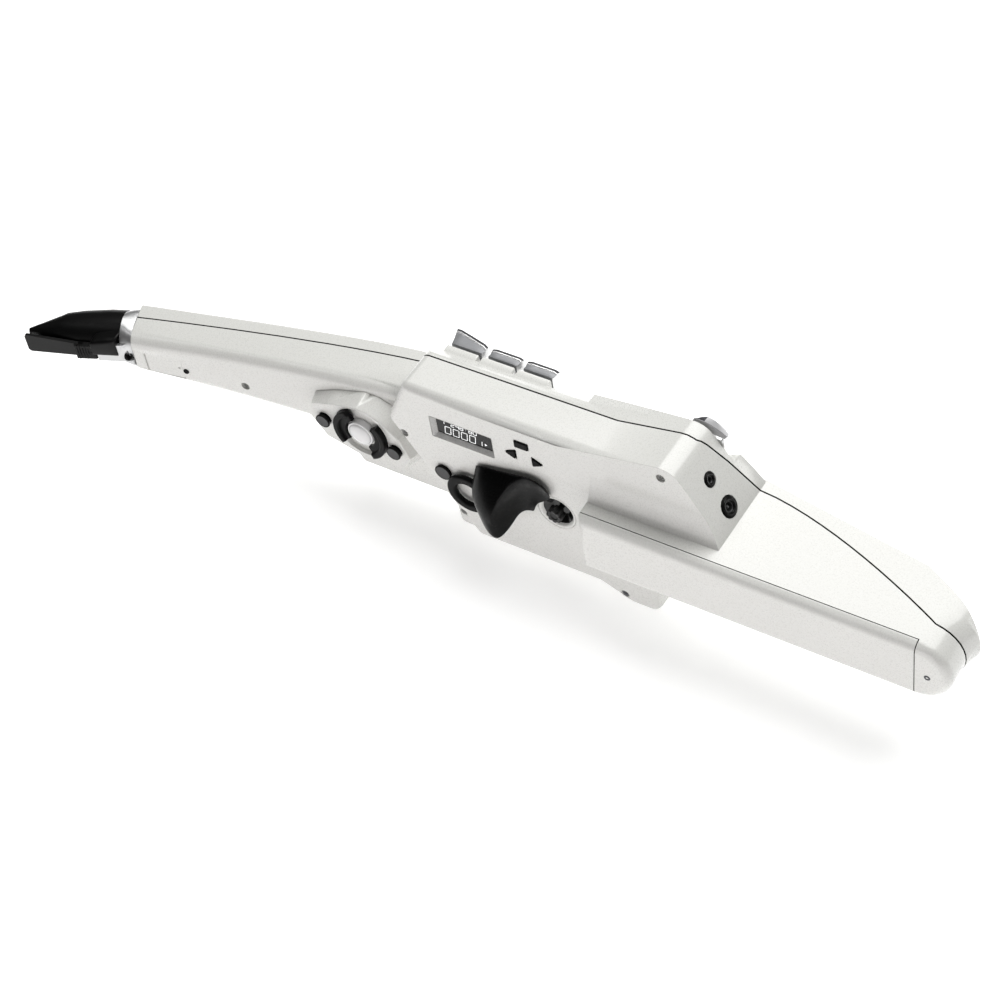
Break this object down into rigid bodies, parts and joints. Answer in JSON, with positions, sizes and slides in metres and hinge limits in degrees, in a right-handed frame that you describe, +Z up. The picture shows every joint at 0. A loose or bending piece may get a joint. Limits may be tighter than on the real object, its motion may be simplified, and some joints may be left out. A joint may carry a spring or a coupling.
{
  "type": "digital wind controller",
  "caption": "Curved saxophone-shaped electronic wind instrument with mouthpiece, finger keys, thumb hook, rear control panel and a battery ridge that ends at a rounded bell.",
  "frame": {"origin": "centre of the footprint on the surface that the instrument lies on, left side down", "axes": "+X from the mouthpiece to the bell, +Y from the rear panel to the finger keys, +Z up to the player's right side"},
  "size_m": [0.5612, 0.081, 0.1191],
  "materials": {
    "shell_white": "pearl white lacquer",
    "matt_black": "fine matt black",
    "mouth_black": "satin black",
    "key_silver": "satin silver",
    "display_black": "dark glossy window",
    "board_green": "lacquered board",
    "cell_sleeve": "plain sleeve",
    "steel": "plated case",
    "grey_part": "plain grey"
  },
  "bodies": {
    "housing": {"rear_housing": "shell_white", "front_housing": "shell_white", "battery_tray": "matt_black", "battery_cell_1": "cell_sleeve", "battery_cell_2": "cell_sleeve", "battery_cell_3": "cell_sleeve", "battery_cell_4": "cell_sleeve", "battery_cell_5": "cell_sleeve", "battery_cell_6": "cell_sleeve", "neck_ring": "key_silver", "mouthpiece_body": "mouth_black", "mouthpiece_clamp": "mouth_black", "breath_tube": "grey_part", "breath_sensor": "grey_part", "thumb_plate": "shell_white", "thumb_rest": "shell_white", "display_window": "display_black", "display_module": "grey_part", "thumb_hook": "matt_black", "strap_ring": "matt_black", "volume_dish": "matt_black", "volume_pot": "steel", "phones_socket": "matt_black", "power_inlet": "matt_black", "main_board": "board_green", "key_board": "board_green", "speaker": "matt_black"},
    "battery_lid": {"battery_lid": "shell_white"},
    "neck_door": {"neck_door": "shell_white"},
    "bite_reed": {"bite_reed": "mouth_black"},
    "volume_knob": {"volume_knob": "matt_black"},
    "octave_up_key": {"octave_up_key": "matt_black"},
    "octave_down_key": {"octave_down_key": "matt_black"},
    "thumb_button_1": {"thumb_button_1": "matt_black"},
    "thumb_button_2": {"thumb_button_2": "matt_black"},
    "menu_button": {"menu_button": "matt_black"},
    "left_button": {"left_button": "matt_black"},
    "right_button": {"right_button": "matt_black"},
    "power_button": {"power_button": "matt_black"},
    "b_key": {"b_key": "key_silver"},
    "a_key": {"a_key": "key_silver"},
    "g_key": {"g_key": "key_silver"},
    "f_key": {"f_key": "key_silver"},
    "e_key": {"e_key": "key_silver"},
    "d_key": {"d_key": "key_silver"},
    "front_f_key": {"front_f_key": "key_silver"},
    "bis_key": {"bis_key": "key_silver"},
    "palm_d_key": {"palm_d_key": "key_silver"},
    "palm_e_flat_key": {"palm_e_flat_key": "key_silver"},
    "palm_f_key": {"palm_f_key": "key_silver"},
    "g_sharp_key": {"g_sharp_key": "key_silver"},
    "c_sharp_key": {"c_sharp_key": "key_silver"},
    "low_b_key": {"low_b_key": "key_silver"},
    "low_b_flat_key": {"low_b_flat_key": "key_silver"},
    "low_c_key": {"low_c_key": "key_silver"},
    "side_b_flat_key": {"side_b_flat_key": "key_silver"},
    "side_c_key": {"side_c_key": "key_silver"},
    "high_e_key": {"high_e_key": "key_silver"},
    "e_flat_key": {"e_flat_key": "key_silver"}
  },
  "joints": [
    {"name": "battery_lid_slide", "type": "slide", "parent": "housing", "child": "battery_lid", "axis": [-1, 0, 0], "range_m": [0, 0.008]},
    {"name": "neck_door_hinge", "type": "hinge", "parent": "housing", "child": "neck_door", "pos_m": [-0.20787, -0.02111, 0.0598], "axis": [0, 0, -1], "range_deg": [0, 90]},
    {"name": "bite_reed_hinge", "type": "hinge", "parent": "housing", "child": "bite_reed", "pos_m": [-0.24408, -0.03039, 0.063], "axis": [0, 0, -1], "range_deg": [0, 1], "stiffness_Nm_per_rad": 8},
    {"name": "volume_knob_hinge", "type": "hinge", "parent": "housing", "child": "volume_knob", "pos_m": [0.05315, -0.01367, 0.05549], "axis": [0, -1, 0], "range_deg": [-140, 140]},
    {"name": "octave_up_key_slide", "type": "slide", "parent": "housing", "child": "octave_up_key", "axis": [0, 1, 0], "range_m": [0, 0.001], "stiffness_N_per_m": 300, "springref_m": -0.0005},
    {"name": "octave_down_key_slide", "type": "slide", "parent": "housing", "child": "octave_down_key", "axis": [0, 1, 0], "range_m": [0, 0.001], "stiffness_N_per_m": 300, "springref_m": -0.0005},
    {"name": "thumb_button_1_slide", "type": "slide", "parent": "housing", "child": "thumb_button_1", "axis": [0, 1, 0], "range_m": [0, 0.001], "stiffness_N_per_m": 300, "springref_m": -0.0005},
    {"name": "thumb_button_2_slide", "type": "slide", "parent": "housing", "child": "thumb_button_2", "axis": [0, 1, 0], "range_m": [0, 0.001], "stiffness_N_per_m": 300, "springref_m": -0.0005},
    {"name": "menu_button_slide", "type": "slide", "parent": "housing", "child": "menu_button", "axis": [0, 1, 0], "range_m": [0, 0.0006], "stiffness_N_per_m": 400, "springref_m": -0.0005},
    {"name": "left_button_slide", "type": "slide", "parent": "housing", "child": "left_button", "axis": [0, 1, 0], "range_m": [0, 0.0006], "stiffness_N_per_m": 400, "springref_m": -0.0005},
    {"name": "right_button_slide", "type": "slide", "parent": "housing", "child": "right_button", "axis": [0, 1, 0], "range_m": [0, 0.0006], "stiffness_N_per_m": 400, "springref_m": -0.0005},
    {"name": "power_button_slide", "type": "slide", "parent": "housing", "child": "power_button", "axis": [0, 1, 0], "range_m": [0, 0.0006], "stiffness_N_per_m": 400, "springref_m": -0.0005},
    {"name": "b_key_slide", "type": "slide", "parent": "housing", "child": "b_key", "axis": [0, -1, 0], "range_m": [0, 0.0015], "stiffness_N_per_m": 250, "springref_m": -0.0006},
    {"name": "a_key_slide", "type": "slide", "parent": "housing", "child": "a_key", "axis": [0, -1, 0], "range_m": [0, 0.0015], "stiffness_N_per_m": 250, "springref_m": -0.0006},
    {"name": "g_key_slide", "type": "slide", "parent": "housing", "child": "g_key", "axis": [0, -1, 0], "range_m": [0, 0.0015], "stiffness_N_per_m": 250, "springref_m": -0.0006},
    {"name": "f_key_slide", "type": "slide", "parent": "housing", "child": "f_key", "axis": [0, -1, 0], "range_m": [0, 0.0015], "stiffness_N_per_m": 250, "springref_m": -0.0006},
    {"name": "e_key_slide", "type": "slide", "parent": "housing", "child": "e_key", "axis": [0, -1, 0], "range_m": [0, 0.0015], "stiffness_N_per_m": 250, "springref_m": -0.0006},
    {"name": "d_key_slide", "type": "slide", "parent": "housing", "child": "d_key", "axis": [0, -1, 0], "range_m": [0, 0.0015], "stiffness_N_per_m": 250, "springref_m": -0.0006},
    {"name": "front_f_key_slide", "type": "slide", "parent": "housing", "child": "front_f_key", "axis": [0, -1, 0], "range_m": [0, 0.0015], "stiffness_N_per_m": 250, "springref_m": -0.0006},
    {"name": "bis_key_slide", "type": "slide", "parent": "housing", "child": "bis_key", "axis": [0, -1, 0], "range_m": [0, 0.0015], "stiffness_N_per_m": 250, "springref_m": -0.0006},
    {"name": "palm_d_key_slide", "type": "slide", "parent": "housing", "child": "palm_d_key", "axis": [0, -1, 0], "range_m": [0, 0.0015], "stiffness_N_per_m": 250, "springref_m": -0.0006},
    {"name": "palm_e_flat_key_slide", "type": "slide", "parent": "housing", "child": "palm_e_flat_key", "axis": [0, -1, 0], "range_m": [0, 0.0015], "stiffness_N_per_m": 250, "springref_m": -0.0006},
    {"name": "palm_f_key_slide", "type": "slide", "parent": "housing", "child": "palm_f_key", "axis": [0, -1, 0], "range_m": [0, 0.0015], "stiffness_N_per_m": 250, "springref_m": -0.0006},
    {"name": "g_sharp_key_slide", "type": "slide", "parent": "housing", "child": "g_sharp_key", "axis": [0, -1, 0], "range_m": [0, 0.0015], "stiffness_N_per_m": 250, "springref_m": -0.0006},
    {"name": "c_sharp_key_slide", "type": "slide", "parent": "housing", "child": "c_sharp_key", "axis": [0, -1, 0], "range_m": [0, 0.0015], "stiffness_N_per_m": 250, "springref_m": -0.0006},
    {"name": "low_b_key_slide", "type": "slide", "parent": "housing", "child": "low_b_key", "axis": [0, -1, 0], "range_m": [0, 0.0015], "stiffness_N_per_m": 250, "springref_m": -0.0006},
    {"name": "low_b_flat_key_slide", "type": "slide", "parent": "housing", "child": "low_b_flat_key", "axis": [0, -1, 0], "range_m": [0, 0.0015], "stiffness_N_per_m": 250, "springref_m": -0.0006},
    {"name": "low_c_key_slide", "type": "slide", "parent": "housing", "child": "low_c_key", "axis": [0, -1, 0], "range_m": [0, 0.0015], "stiffness_N_per_m": 250, "springref_m": -0.0006},
    {"name": "side_b_flat_key_slide", "type": "slide", "parent": "housing", "child": "side_b_flat_key", "axis": [0, -1, 0], "range_m": [0, 0.0015], "stiffness_N_per_m": 250, "springref_m": -0.0006},
    {"name": "side_c_key_slide", "type": "slide", "parent": "housing", "child": "side_c_key", "axis": [0, -1, 0], "range_m": [0, 0.0015], "stiffness_N_per_m": 250, "springref_m": -0.0006},
    {"name": "high_e_key_slide", "type": "slide", "parent": "housing", "child": "high_e_key", "axis": [0, -1, 0], "range_m": [0, 0.0015], "stiffness_N_per_m": 250, "springref_m": -0.0006},
    {"name": "e_flat_key_slide", "type": "slide", "parent": "housing", "child": "e_flat_key", "axis": [0, -1, 0], "range_m": [0, 0.0015], "stiffness_N_per_m": 250, "springref_m": -0.0006}
  ]
}
